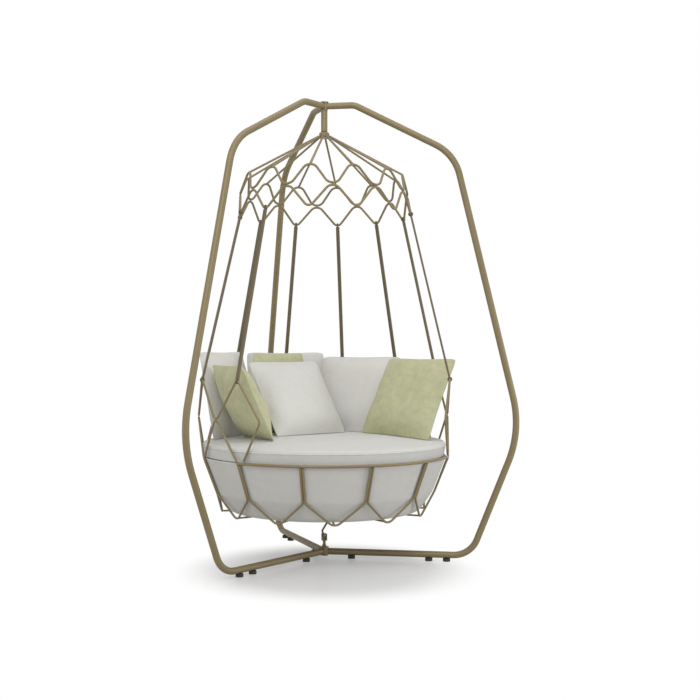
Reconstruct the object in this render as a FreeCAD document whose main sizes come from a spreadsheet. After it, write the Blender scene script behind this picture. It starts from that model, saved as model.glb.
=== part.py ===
import FreeCAD, Part
import Sketcher
import math
import os
import re
from FreeCAD import Placement, Rotation, Vector

# Hanging sofa. Three bent tube legs meet in a top hub and a base hub. A stem under the top hub holds
# a universal joint and a swivel bearing, and from these hang a wire canopy, nine tie rods and a wire
# basket with an upholstered tub, a round seat cushion and seven loose pillows. A slack tether between
# the base hub and the basket limits the swing. Millimetres, +Z up, front towards -Y.

COLUMNS = 12
PITCH = 360 / COLUMNS
TIED_COLUMNS = (2, 3, 4, 5, 6, 7, 8, 9, 10)
LEGS = ("right_leg", "rear_leg", "left_leg")
LEG_BEARINGS = {name: (index + 0.5) * 360 / len(LEGS) for index, name in enumerate(LEGS)}
BALLS = 10

DRIVING = (
    ("weld_gap", 0.3, "room between pieces that are welded or rest on each other"),
    ("running_gap", 0.05, "radial room of a turning fit"),
    ("tube_dia", 34, "leg tube, outside"),
    ("tube_wall", 2.5, "leg tube, wall"),
    ("foot_height", 16, "rubber foot, height"),
    ("foot_dia", 38, "rubber foot, diameter"),
    ("foot_inner_r", 145, "inner foot, distance from the hub axis"),
    ("foot_middle_r", 550, "middle foot, distance from the hub axis"),
    ("foot_outer_r", 642, "outer foot, distance from the hub axis"),
    ("frame_rise", 2344, "base tube centre to top tube centre"),
    ("base_corner_r", 765, "leg corner at the floor, from the hub axis"),
    ("wide_corner_r", 1022, "leg corner at its widest, from the hub axis"),
    ("wide_corner_rise", 649, "widest corner above the base tube"),
    ("shoulder_r", 683, "shoulder corner, from the hub axis"),
    ("shoulder_drop", 271, "shoulder corner under the top tube"),
    ("top_corner_r", 161, "corner of the top run, from the hub axis"),
    ("base_bend", 130, "bend radius at the floor"),
    ("wide_bend", 550, "bend radius at the widest corner"),
    ("shoulder_bend", 240, "bend radius at the shoulder"),
    ("top_bend", 80, "bend radius at the top run"),
    ("top_hub_dia", 46, "top hub, diameter"),
    ("top_hub_above", 18, "top hub, reach above the tube centre"),
    ("top_hub_below", 22, "top hub, reach below the tube centre"),
    ("cap_height", 5, "cap on the top hub"),
    ("base_hub_dia", 54, "base hub, diameter"),
    ("base_hub_above", 23, "base hub, reach above the tube centre"),
    ("base_hub_below", 21, "base hub, reach below the tube centre"),
    ("spigot_length", 45, "hub spigot inside each leg end"),
    ("stem_dia", 34, "stem tube, outside"),
    ("stem_wall", 3, "stem tube, wall"),
    ("stem_length", 111, "stem tube, length"),
    ("pivot_inset", 40, "universal joint centre above the stem's lower end"),
    ("yoke_dia", 25, "yokes, outside diameter"),
    ("yoke_plug", 22, "upper yoke, plug length"),
    ("yoke_disc", 9, "lower yoke, disc thickness"),
    ("ear_inner", 8, "yoke ear, inner face from the joint centre"),
    ("ear_width", 11, "yoke ear, width"),
    ("ear_overhang", 7, "yoke ear, reach past the joint centre"),
    ("ear_length", 14, "yoke ear, joint centre to its disc"),
    ("trunnion_dia", 6, "joint cross, trunnion diameter"),
    ("cross_block", 11, "joint cross, middle block"),
    ("shaft_dia", 14, "hanger shaft"),
    ("crown_dia", 54, "crown hub, diameter"),
    ("crown_gap", 5, "crown hub under the stem"),
    ("crown_flange", 10, "crown hub, flange thickness"),
    ("crown_height", 30, "crown hub, height"),
    ("race_dia", 30, "thrust bearing race, outside"),
    ("race_thickness", 3, "thrust bearing race, thickness"),
    ("race_room", 1, "room round the thrust bearing"),
    ("ball_dia", 4.5, "thrust bearing ball"),
    ("nut_dia", 26, "hanger nut, diameter"),
    ("nut_height", 9, "hanger nut, height"),
    ("canopy_wire", 12, "canopy wave rings, wire diameter"),
    ("spoke_dia", 11, "canopy spokes, diameter"),
    ("peak_r", 412, "canopy wave peaks, from the axis"),
    ("peak_drop", 278, "canopy wave peaks under the joint centre"),
    ("valley_r", 441, "where the two waves touch, from the axis"),
    ("valley_drop", 379, "where the two waves touch, under the joint centre"),
    ("hem_r", 456, "lower wave valleys, from the axis"),
    ("hem_drop", 484, "lower wave valleys under the joint centre"),
    ("wave_bend", 42, "canopy wave bend radius"),
    ("hem_bend", 26, "lower wave valleys, bend radius"),
    ("rod_width", 20, "tie rods, width of the flat bar"),
    ("rod_thickness", 10, "tie rods, thickness of the flat bar"),
    ("eye_wire", 7, "tie rod eyes, wire diameter"),
    ("lattice_wire", 11, "basket wires, diameter"),
    ("rim_bar", 14, "front rim bar, diameter"),
    ("tie_r", 659, "lattice peaks at the tie rods, from the axis"),
    ("tie_rise", 194, "lattice peaks above the lattice crossings"),
    ("mesh_r", 657, "lattice crossings, from the axis"),
    ("mesh_rise", 202, "lattice crossings above the rim"),
    ("rim_r", 650, "rim, from the axis"),
    ("rim_rise", 185, "rim above the basket knees"),
    ("knee_r", 579, "basket knees, from the axis"),
    ("knee_rise", 108, "basket knees above the keel bends"),
    ("keel_r", 536, "basket keel bends, from the axis"),
    ("keel_rise", 220, "basket keel bends above the base tube"),
    ("tie_bend", 14, "bend radius at the lattice peaks"),
    ("mesh_bend", 28, "bend radius at the lattice crossings"),
    ("rim_bend", 60, "bend radius at the rim"),
    ("knee_bend", 30, "bend radius at the knees"),
    ("keel_bend", 40, "bend radius at the keel"),
    ("free_bend_bearing", 48.5, "free side bends, degrees from the front"),
    ("free_end_bearing", 57, "free wire ends on the rim bar, degrees from the front"),
    ("keel_spoke_dia", 9, "spokes under the tub, diameter"),
    ("keel_plate_dia", 132, "plate where the keel spokes meet, diameter"),
    ("keel_plate_thickness", 8, "plate where the keel spokes meet, thickness"),
    ("keel_hole_dia", 52, "tether hole in the plate, diameter"),
    ("post_dia", 30, "tether post, foot diameter"),
    ("post_height", 16, "tether post, height of its cone"),
    ("tongue_width", 12, "flat tongues in the knuckle"),
    ("tongue_dia", 14, "flat tongues, round end"),
    ("slot_play", 0.3, "side room of a tongue in its slot"),
    ("slot_room", 1, "room at the bottom of a slot"),
    ("knuckle_width", 24, "tether knuckle, width"),
    ("knuckle_below", 7, "tether knuckle under its lower pin"),
    ("knuckle_above", 7, "tether knuckle over its upper pin"),
    ("knuckle_pitch", 22, "tether knuckle, pin to pin"),
    ("knuckle_pin_dia", 6, "tether knuckle pins"),
    ("knuckle_pin_rise", 24, "lower pin above the post's cone"),
    ("tether_dia", 10, "tether rod"),
    ("tether_kink_x", 13, "tether rod, first kink, to the left"),
    ("tether_kink_rise", 21, "tether rod, first kink above its pin"),
    ("tether_bow_x", 30, "tether rod, bow, to the right"),
    ("tether_neck_drop", 17, "tether rod, last kink under the plate"),
    ("tether_bend", 14, "tether rod, bend radius"),
    ("tether_ball_dia", 62, "tether ball, diameter"),
    ("tether_slack", 92, "tether ball centre over the plate"),
    ("tub_wall", 25, "tub, wall"),
    ("tub_clear", 5, "tub, room inside the wires"),
    ("tub_flat_r", 500, "tub, corner of its flat bottom from the axis"),
    ("tub_heel", 60, "tub, bottom corner radius"),
    ("tub_knee", 160, "tub, side bend radius"),
    ("well_dia", 170, "well for the tether ball in the tub and the foam"),
    ("well_depth", 132, "well for the tether ball, above the tub's bottom"),
    ("foam_height", 150, "foam base in the tub, height"),
    ("cushion_room", 7, "seat cushion, room inside the rim bar"),
    ("cushion_lip", 5, "seat cushion, lip over the tub's rim"),
    ("cushion_edge", 58, "seat cushion, edge above the tub's rim"),
    ("cushion_crown", 92, "seat cushion, middle above the tub's rim"),
    ("cushion_round", 22, "seat cushion, edge radius"),
    ("pillow_rise", 540, "reach of the pillows above the rim"),
    ("large_room", 136, "large pillows, edge short of the radius inside the rods"),
    ("small_room", 186, "small pillows, edge short of the radius inside the rods"),
    ("pillow_draw", 16, "pillows, how far the sides draw in"),
    ("pillow_seam", 6, "pillows, thickness at the side seams"),
    ("steep_lean", 11, "lean of the pillows along the back, degrees"),
    ("middle_lean", 26, "lean of the pillows at the back right and the left, degrees"),
    ("slack_lean", 31, "lean of the pillow at the right, degrees"),
    ("front_lean", 35, "lean of the pillow in front, degrees"),
)

# Places that follow from the driving sizes, written as formulas of the sheet.
DERIVED = (
    ("base_z", "foot_height + weld_gap + tube_dia / 2"),
    ("top_z", "base_z + frame_rise"),
    ("tube_bore", "tube_dia - 2 * tube_wall"),
    ("top_hub_low", "top_z - top_hub_below"),
    ("top_hub_high", "top_z + top_hub_above"),
    ("base_hub_low", "base_z - base_hub_below"),
    ("base_hub_high", "base_z + base_hub_above"),
    ("top_flat", "sqrt(top_hub_dia ^ 2 - tube_dia ^ 2) / 2"),
    ("base_flat", "sqrt(base_hub_dia ^ 2 - tube_dia ^ 2) / 2"),
    ("stem_low", "top_hub_low - stem_length"),
    ("stem_bore", "stem_dia - 2 * stem_wall"),
    ("pivot_z", "stem_low + pivot_inset"),
    ("ear_outer", "yoke_dia / 2"),
    ("crown_high", "stem_low - crown_gap"),
    ("crown_low", "crown_high - crown_height"),
    ("upper_race_low", "crown_high - crown_flange - race_thickness"),
    ("lower_race_high", "upper_race_low - ball_dia - 2 * running_gap"),
    ("nut_high", "lower_race_high - race_thickness"),
    ("shaft_low", "nut_high - nut_height"),
    ("shoulder_z", "top_z - shoulder_drop"),
    ("keel_z", "base_z + keel_rise"),
    ("knee_z", "keel_z + knee_rise"),
    ("rim_z", "knee_z + rim_rise"),
    ("mesh_z", "rim_z + mesh_rise"),
    ("tie_z", "mesh_z + tie_rise"),
    ("hem_z", "pivot_z - hem_drop"),
    ("pillow_top", "rim_z + pillow_rise"),
    ("rod_round", "min(rod_width; rod_thickness) / 4"),
    ("rod_inset", "max(0; (tie_r - hem_r) * (pillow_top - tie_z) / (hem_z - tie_z))"),
    ("back_r", "min(rim_r; mesh_r; tie_r) - rod_inset"),
    ("plate_high", "keel_z + keel_plate_thickness / 2"),
    ("lower_pin_z", "base_hub_high + post_height + knuckle_pin_rise"),
    ("upper_pin_z", "lower_pin_z + knuckle_pitch"),
    ("tub_low", "max(plate_high; keel_z + keel_spoke_dia / 2) + weld_gap"),
    ("foam_high", "tub_low + tub_wall + weld_gap + foam_height"),
    ("wire_lean", "max(0; (rim_r - mesh_r) * cushion_edge / mesh_rise)"),
    ("cushion_r", "rim_r - wire_lean - rim_bar / 2 - cushion_room"),
    ("large_pillow", "back_r - large_room"),
    ("small_pillow", "back_r - small_room"),
    ("full_pillow", "large_pillow / 4"),
    ("pressed_pillow", "large_pillow / 7"),
)

doc = FreeCAD.newDocument("hanging_sofa")
sheet = doc.addObject("Spreadsheet::Sheet", "sizes")
for row, (alias, number, meaning) in enumerate(DRIVING, start=1):
    sheet.set(f"A{row}", meaning)
    sheet.set(f"B{row}", str(number))
    sheet.setAlias(f"B{row}", alias)
for row, (alias, formula) in enumerate(DERIVED, start=len(DRIVING) + 1):
    sheet.set(f"B{row}", "=" + formula)
    sheet.setAlias(f"B{row}", alias)
doc.recompute()
ALIASES = {entry[0] for entry in DRIVING + DERIVED}


def size(alias):
    """A size from the sheet, as a number."""
    return float(sheet.get(alias))


def formula(text):
    """An expression that reads the sheet's cells by their aliases."""
    return re.sub(r"[a-z_]+", lambda word: f"sizes.{word[0]}" if word[0] in ALIASES else word[0], text)


def value(text):
    """The number that an expression over the sheet gives now."""
    return float(sheet.evalExpression(formula(text)))


def drop(alias):
    """Height of something that hangs a given drop under the joint centre."""
    return size("pivot_z") - size(alias)


def polar(radius, bearing, height):
    """A point round the hub axis; bearing 0 is the front and 90 the right side."""
    turn = math.radians(bearing)
    return Vector(radius * math.sin(turn), -radius * math.cos(turn), height)


def widest_reach():
    """Distance from the hub axis to the outside of a leg at its widest bend."""
    corner_r, corner_z = size("wide_corner_r"), size("wide_corner_rise")
    before = math.atan2(corner_z, corner_r - size("base_corner_r"))
    after = math.atan2(value("shoulder_z - base_z") - corner_z, size("shoulder_r") - corner_r)
    bend = size("wide_bend")
    run = bend * math.tan((after - before) / 2)
    middle_r = corner_r - run * math.cos(before) - bend * math.sin(before)
    return middle_r + bend + size("tube_dia") / 2


# The origin lies on the floor under the middle of the whole object, so the hub axis stands in front of it.
AXIS_Y = (value("rim_r + rim_bar / 2") - widest_reach()) / 2
AXIS = Vector(0, AXIS_Y, 0)
UP = Vector(0, 0, 1)
parts = []


def keep(obj, label, place=Placement()):
    """Name a finished piece and set it at its place round the hub axis."""
    obj.Label = label
    obj.Placement = Placement(AXIS, Rotation()) * place
    parts.append(obj)
    return obj


def solid(label, shape, place=Placement()):
    """A piece whose form is worked out from the sheet by the functions below."""
    piece = doc.addObject("Part::Feature", label)
    piece.Shape = shape
    return keep(piece, label, place)


def plane(body, role):
    return next(feature for feature in body.Origin.OriginFeatures if feature.Role == role)


def sketch_on(body, name, role):
    sketch = body.newObject("Sketcher::SketchObject", name)
    sketch.AttachmentSupport = [(plane(body, role), "")]
    sketch.MapMode = "FlatFace"
    return sketch


def dimension(sketch, kind, target, text):
    """A sketch dimension that follows an expression over the sheet."""
    index = sketch.addConstraint(Sketcher.Constraint(kind, *target, value(text)))
    sketch.setExpression(f"Constraints[{index}]", formula(text))


def turned(label, outline):
    """A lathe-turned piece: its outline is a ring of (radius, height) expressions."""
    body = doc.addObject("PartDesign::Body", label)
    sketch = sketch_on(body, label + "_outline", "XZ_Plane")
    corners = [Vector(value(radius), value(height), 0) for radius, height in outline]
    for corner, following in zip(corners, corners[1:] + corners[:1]):
        sketch.addGeometry(Part.LineSegment(corner, following), False)
    for index, (radius, height) in enumerate(outline):
        sketch.addConstraint(Sketcher.Constraint("Coincident", index, 2, (index + 1) % len(outline), 1))
        if radius == "0":
            sketch.addConstraint(Sketcher.Constraint("PointOnObject", index, 1, -2))
        else:
            dimension(sketch, "DistanceX", (-1, 1, index, 1), radius)
        dimension(sketch, "DistanceY", (-1, 1, index, 1), height)
    turn = body.newObject("PartDesign::Revolution", label + "_turned")
    turn.Profile = sketch
    turn.ReferenceAxis = (sketch, ["V_Axis"])
    turn.Angle = 360
    return keep(body, label)


AXES = {"x": Rotation(Vector(0, 1, 0), 90), "y": Rotation(Vector(1, 0, 0), -90), "z": Rotation()}


def put(obj, rotation, at):
    obj.Placement = Placement(Vector(), rotation)
    for letter, text in zip("xyz", at):
        obj.setExpression(f"Placement.Base.{letter}", formula(text))


def cylinder(name, dia, length, axis="z", at=("0", "0", "0")):
    """A round bar that starts at a point and runs along an axis."""
    bar = doc.addObject("Part::Cylinder", name)
    bar.setExpression("Radius", formula(f"({dia}) / 2"))
    bar.setExpression("Height", formula(length))
    put(bar, AXES[axis], at)
    return bar


def block(name, spans, at):
    """A block that is centred on a point in X and Y and stands on it in Z."""
    box = doc.addObject("Part::Box", name)
    for edge, span in zip(("Length", "Width", "Height"), spans):
        box.setExpression(edge, formula(span))
    x, y, z = at
    put(box, Rotation(), (f"{x} - ({spans[0]}) / 2", f"{y} - ({spans[1]}) / 2", z))
    return box


def fused(name, *shapes):
    joined = doc.addObject("Part::MultiFuse", name)
    joined.Shapes = list(shapes)
    return joined


def cut(name, base, tool):
    rest = doc.addObject("Part::Cut", name)
    rest.Base = base
    rest.Tool = tool
    return rest


def bend_edges(points, bends, closed=False):
    """Straight runs joined by tangent arcs; each arc comes as two halves. A bend of 0 is a sharp corner."""
    count = len(points)
    ends, arcs = [], []
    for index, (here, bend) in enumerate(zip(points, bends)):
        if bend == 0 or (not closed and index in (0, count - 1)):
            ends.append((here, here))
            arcs.append([])
            continue
        back = (points[index - 1] - here).normalize()
        ahead = (points[(index + 1) % count] - here).normalize()
        half = back.getAngle(ahead) / 2
        start = here + back * (bend / math.tan(half))
        finish = here + ahead * (bend / math.tan(half))
        inward = (back + ahead).normalize()
        centre = here + inward * (bend / math.sin(half))
        middle = centre - inward * bend
        first = centre + ((start - centre) + (middle - centre)).normalize() * bend
        second = centre + ((finish - centre) + (middle - centre)).normalize() * bend
        ends.append((start, finish))
        arcs.append([Part.Arc(start, first, middle).toShape(), Part.Arc(middle, second, finish).toShape()])
    edges = []
    for index in range(count):
        edges.append(arcs[index])
        if closed or index < count - 1:
            leave, arrive = ends[index][1], ends[(index + 1) % count][0]
            edges.append([Part.LineSegment(leave, arrive).toShape()])
    return edges


def corners_through(marks, bends, closed=False, held=()):
    """Corner points whose rounded bends pass through the given marks; held ones keep their corner there."""
    corners = list(marks)
    steps = 30
    for _ in range(steps):
        moved = list(marks)
        for index, (mark, bend) in enumerate(zip(marks, bends)):
            if bend == 0 or index in held or (not closed and index in (0, len(marks) - 1)):
                continue
            back = (corners[index - 1] - corners[index]).normalize()
            ahead = (corners[(index + 1) % len(marks)] - corners[index]).normalize()
            half = back.getAngle(ahead) / 2
            moved[index] = mark - (back + ahead).normalize() * (bend / math.sin(half) - bend)
        corners = moved
    return corners


def swept(edges, dia):
    """A round bar along a chain of edges."""
    path = Part.Wire(edges)
    first = edges[0]
    ring = Part.Circle(first.valueAt(first.FirstParameter), first.tangentAt(first.FirstParameter), dia / 2)
    return path.makePipeShell([Part.Wire(ring.toShape())], True, False)


def bar_through(marks, bends, dia, held=()):
    """An open bent bar."""
    groups = bend_edges(corners_through(marks, bends, False, held), bends)
    return swept([edge for group in groups for edge in group], dia)


def loop_through(marks, bends, dia, held=()):
    """A closed bent bar, welded from two halves that meet in the middle of two opposite bends."""
    groups = bend_edges(corners_through(marks, bends, True, held), bends, True)
    half = len(groups) // 2
    near = groups[0][1:] + [edge for group in groups[1:half] for edge in group] + groups[half][:1]
    far = groups[half][1:] + [edge for group in groups[half + 1:] for edge in group] + groups[0][:1]
    return swept(near, dia).fuse(swept(far, dia)).removeSplitter()


def soft_outline(points, bends):
    """An outline of runs and arcs in the XZ plane."""
    return [edge for group in bend_edges(points, bends, True) for edge in group]


def turned_soft(points, bends):
    """A soft round piece: an outline turned about the axis."""
    return Part.Face(Part.Wire(soft_outline(points, bends))).revolve(Vector(), UP, 360)


# Legs: one bent tube each, from the base hub out, up and back in to the top hub.
def leg(label, bearing):
    body = doc.addObject("PartDesign::Body", label)
    route = sketch_on(body, label + "_route", "XZ_Plane")
    corners = (
        ("base_corner_r", "base_z", "base_bend"),
        ("wide_corner_r", "base_z + wide_corner_rise", "wide_bend"),
        ("shoulder_r", "shoulder_z", "shoulder_bend"),
        ("top_corner_r", "top_z", "top_bend"),
    )
    ends = (("base_flat", "base_z"), ("top_flat", "top_z"))
    stations = [ends[0]] + [corner[:2] for corner in corners] + [ends[1]]
    points = [Vector(value(across), value(height), 0) for across, height in stations]
    bends = [0] + [value(corner[2]) for corner in corners] + [0]
    runs, arcs = [], []
    for group in bend_edges(points, bends):
        if len(group) == 1:
            edge = group[0]
            runs.append(route.addGeometry(Part.LineSegment(edge.Vertexes[0].Point, edge.Vertexes[1].Point)))
        elif group:
            near, far = group
            arc = Part.Arc(near.valueAt(near.FirstParameter), near.valueAt(near.LastParameter),
                           far.valueAt(far.LastParameter))
            arcs.append(route.addGeometry(arc))
    for index, (across, height, bend) in enumerate(corners):
        arc, run, following = arcs[index], runs[index], runs[index + 1]
        reversed_arc = route.Geometry[arc].StartPoint.distanceToPoint(route.Geometry[run].EndPoint) > 0.001
        route.addConstraint(Sketcher.Constraint("Tangent", run, 2, arc, 2 if reversed_arc else 1))
        route.addConstraint(Sketcher.Constraint("Tangent", arc, 1 if reversed_arc else 2, following, 1))
        dimension(route, "Radius", (arc,), bend)
        corner = route.addGeometry(Part.Point(points[index + 1]), True)
        route.addConstraint(Sketcher.Constraint("PointOnObject", corner, 1, run))
        route.addConstraint(Sketcher.Constraint("PointOnObject", corner, 1, following))
        dimension(route, "DistanceX", (-1, 1, corner, 1), across)
        dimension(route, "DistanceY", (-1, 1, corner, 1), height)
    for run, end, (across, height) in ((runs[0], 1, ends[0]), (runs[-1], 2, ends[1])):
        dimension(route, "DistanceX", (-1, 1, run, end), across)
        dimension(route, "DistanceY", (-1, 1, run, end), height)
    section = sketch_on(body, label + "_section", "YZ_Plane")
    section.setExpression("AttachmentOffset.Base.z", formula("base_flat"))
    for dia in ("tube_dia", "tube_bore"):
        ring = section.addGeometry(Part.Circle(Vector(0, value("base_z"), 0), UP, value(dia) / 2))
        section.addConstraint(Sketcher.Constraint("PointOnObject", ring, 3, -2))
        dimension(section, "DistanceY", (-1, 1, ring, 3), "base_z")
        dimension(section, "Diameter", (ring,), dia)
    tube = body.newObject("PartDesign::AdditivePipe", label + "_tube")
    tube.Profile = section
    tube.Spine = (route, [])
    keep(body, label, Placement(Vector(), Rotation(UP, bearing - 90)))


for label, bearing in LEG_BEARINGS.items():
    leg(label, bearing)


# Hubs: a turned boss with a flat and a spigot for each leg end.
def hub(label, dia, low, high, flat, centre):
    boss = cylinder(label + "_boss", dia, f"{high} - {low}", at=("0", "0", low))
    spigots = []
    outside = boss
    for name, bearing in LEG_BEARINGS.items():
        turn = Rotation(UP, bearing - 90)
        face = doc.addObject("Part::Box", f"{label}_flat_{name}")
        for edge, span in (("Length", dia), ("Width", dia), ("Height", f"{high} - {low}")):
            face.setExpression(edge, formula(span))
        away = turn.multVec(Vector(value(flat), -value(dia) / 2, value(low)))
        face.Placement = Placement(away, turn)
        outside = cut(f"{label}_faced_{name}", outside, face)
        spigot = cylinder(f"{label}_spigot_{name}", "tube_bore - 4 * running_gap", f"{flat} + spigot_length")
        put(spigot, turn * AXES["x"], ("0", "0", centre))
        spigots.append(spigot)
    keep(fused(label, outside, *spigots), label)


hub("top_hub", "top_hub_dia", "top_hub_low", "top_hub_high", "top_flat", "top_z")
hub("base_hub", "base_hub_dia", "base_hub_low", "base_hub_high", "base_flat", "base_z")

# Cap: a thin dished cover pressed onto the top hub.
turned("hub_cap", (("0", "top_hub_high"), ("top_hub_dia / 2", "top_hub_high"),
                   ("top_hub_dia / 2", "top_hub_high + cap_height / 2"),
                   ("top_hub_dia / 2 - cap_height / 2", "top_hub_high + cap_height"),
                   ("0", "top_hub_high + cap_height")))

# Stem: the short tube under the top hub that hides the universal joint.
turned("stem", (("stem_bore / 2", "stem_low"), ("stem_dia / 2", "stem_low"),
                ("stem_dia / 2", "top_hub_low"), ("stem_bore / 2", "top_hub_low")))


# Feet: three rubber pads under the base run of each leg.
def feet():
    pads = []
    chamfer = size("foot_height") / 8
    for bearing in LEG_BEARINGS.values():
        for place in ("foot_inner_r", "foot_middle_r", "foot_outer_r"):
            pad = Part.makeCylinder(size("foot_dia") / 2, size("foot_height"), polar(size(place), bearing, 0))
            pads.append(pad.makeChamfer(chamfer, [pad.Edges[0]]))
    return Part.makeCompound(pads)


solid("feet", feet())


# Universal joint: an upper fork in the stem, a cross and a lower fork on the hanger shaft.
def fork(name, axis, facing):
    """Two ears with trunnion holes; facing is 1 for ears that stand above the joint centre."""
    ears = []
    for side in (-1, 1):
        middle = f"{side} * (ear_inner + ear_outer) / 2"
        low = "pivot_z - ear_overhang" if facing == 1 else "pivot_z - ear_length"
        spans = ("ear_outer - ear_inner", "ear_width", "ear_length + ear_overhang")
        at = (middle, "0", low)
        if axis == "y":
            spans = (spans[1], spans[0], spans[2])
            at = (at[1], at[0], at[2])
        ears.append(block(f"{name}_ear_{side + 1}", spans, at))
    both = fused(name + "_ears", *ears)
    round_off = cylinder(name + "_round", "yoke_dia", "2 * (ear_length + ear_overhang)",
                         at=("0", "0", "pivot_z - ear_length - ear_overhang"))
    trimmed = doc.addObject("Part::Common", name + "_trimmed")
    trimmed.Base = both
    trimmed.Tool = round_off
    start = ["0", "0", "pivot_z"]
    start["xy".index(axis)] = "-yoke_dia"
    hole = cylinder(name + "_hole", "trunnion_dia + 2 * running_gap", "2 * yoke_dia", axis, start)
    return cut(name + "_bored", trimmed, hole)


upper_plug = cylinder("upper_yoke_plug", "stem_bore - 2 * running_gap", "yoke_plug",
                      at=("0", "0", "pivot_z + ear_length"))
keep(fused("upper_yoke", fork("upper_fork", "x", 1), upper_plug), "upper_yoke")

cross_bars = [cylinder(f"cross_bar_{axis}", "trunnion_dia", "yoke_dia", axis,
                       ["-yoke_dia / 2" if letter == axis else ("pivot_z" if letter == "z" else "0")
                        for letter in "xyz"]) for axis in "xy"]
cross_middle = block("cross_middle", ("cross_block", "cross_block", "cross_block"),
                     ("0", "0", "pivot_z - cross_block / 2"))
keep(fused("joint_cross", cross_middle, *cross_bars), "joint_cross")

lower_disc = cylinder("lower_yoke_disc", "yoke_dia", "yoke_disc",
                      at=("0", "0", "pivot_z - ear_length - yoke_disc"))
hanger_shaft = cylinder("hanger_shaft", "shaft_dia", "pivot_z - ear_length - shaft_low",
                        at=("0", "0", "shaft_low"))
keep(fused("lower_yoke", fork("lower_fork", "y", -1), lower_disc, hanger_shaft), "lower_yoke")

# Swivel: the crown hub turns on a thrust bearing that the hanger nut holds up.
turned("crown_hub", (("shaft_dia / 2 + running_gap", "crown_high - crown_flange"),
                     ("race_dia / 2 + race_room", "crown_high - crown_flange"),
                     ("race_dia / 2 + race_room", "crown_low"), ("crown_dia / 2", "crown_low"),
                     ("crown_dia / 2", "crown_high - crown_flange / 2"),
                     ("crown_dia / 2 - crown_flange / 2", "crown_high"),
                     ("shaft_dia / 2 + running_gap", "crown_high")))
for label, low in (("upper_race", "upper_race_low"), ("lower_race", "nut_high")):
    turned(label, (("shaft_dia / 2 + 2 * running_gap", low), ("race_dia / 2", low),
                   ("race_dia / 2", f"{low} + race_thickness"),
                   ("shaft_dia / 2 + 2 * running_gap", f"{low} + race_thickness")))
turned("hanger_nut", (("shaft_dia / 2 + running_gap", "shaft_low"), ("nut_dia / 2", "shaft_low"),
                      ("nut_dia / 2", "nut_high"), ("shaft_dia / 2 + running_gap", "nut_high")))


def balls():
    radius = size("ball_dia") / 2
    height = size("lower_race_high") + size("running_gap") + radius
    circle = value("(shaft_dia + race_dia) / 4")
    return Part.makeCompound([Part.makeSphere(radius, polar(circle, turn * 360 / BALLS, height))
                              for turn in range(BALLS)])


solid("bearing_balls", balls())


# Canopy: two wavy wire rings that touch where the upper one dips, hung on twelve spokes.
def wave_ring(high_r, high_z, low_r, low_z, low_bend, shift):
    """A closed wave; shift is the bearing of its first high point."""
    marks = []
    for step in range(COLUMNS):
        marks.append(polar(high_r, shift + step * PITCH, high_z))
        marks.append(polar(low_r, shift + (step + 0.5) * PITCH, low_z))
    return loop_through(marks, [size("wave_bend"), size(low_bend)] * COLUMNS, size("canopy_wire"))


touch = value("(canopy_wire + weld_gap) / 2")
solid("upper_wave", wave_ring(size("peak_r"), drop("peak_drop"),
                              size("valley_r"), drop("valley_drop") + touch, "wave_bend", 0))
solid("lower_wave", wave_ring(size("valley_r"), drop("valley_drop") - touch,
                              size("hem_r"), size("hem_z"), "hem_bend", PITCH / 2))


def canopy_spokes():
    bars = []
    for column in range(COLUMNS):
        bearing = column * PITCH
        peak = polar(size("peak_r"), bearing, drop("peak_drop"))
        root = polar(value("crown_dia / 2"), bearing, value("(crown_low + crown_high - crown_flange) / 2"))
        along = (peak - root).normalize()
        reach = math.hypot(along.x, along.y)
        root = root + along * ((size("weld_gap") + size("spoke_dia") / 2 * abs(along.z)) / reach)
        length = (peak - root).Length - value("canopy_wire / 2 + weld_gap")
        bars.append(Part.makeCylinder(size("spoke_dia") / 2, length, root, along))
    return Part.makeCompound(bars)


solid("canopy_spokes", canopy_spokes())


# Tie rods: straight flat bars, their wide sides facing the axis, with a welded eye at each end. The eyes
# go round the hem's valleys and the lattice's peaks.
def flat_bar(start, along, across, length):
    """A bar with rounded long edges from a start point; across is the direction of its width."""
    width, thickness = size("rod_width"), size("rod_thickness")
    bar = Part.makeBox(width, thickness, length, Vector(-width / 2, -thickness / 2, 0))
    long_edges = [edge for edge in bar.Edges if abs(edge.tangentAt(edge.FirstParameter).z) > 0.5]
    bar = bar.makeFillet(size("rod_round"), long_edges)
    bar.Placement = Placement(start, Rotation(across, along.cross(across), along, "ZXY"))
    return bar


def tie_rod(bearing):
    hem = polar(size("hem_r"), bearing, size("hem_z"))
    tie = polar(size("tie_r"), bearing, size("tie_z"))
    along = (tie - hem).normalize()
    across = polar(1, bearing + 90, 0)
    upper_eye = value("canopy_wire / 2 + weld_gap + eye_wire / 2")
    lower_eye = value("lattice_wire / 2 + weld_gap + eye_wire / 2")
    bar = flat_bar(hem + along * upper_eye, along, across, (tie - hem).Length - upper_eye - lower_eye)
    eyes = [Part.makeTorus(upper_eye, size("eye_wire") / 2, hem, across),
            Part.makeTorus(lower_eye, size("eye_wire") / 2, tie, across)]
    return bar.fuse(eyes).removeSplitter()


for number, column in enumerate(TIED_COLUMNS, start=1):
    solid(f"tie_rod_{number}", tie_rod(column * PITCH))


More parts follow.
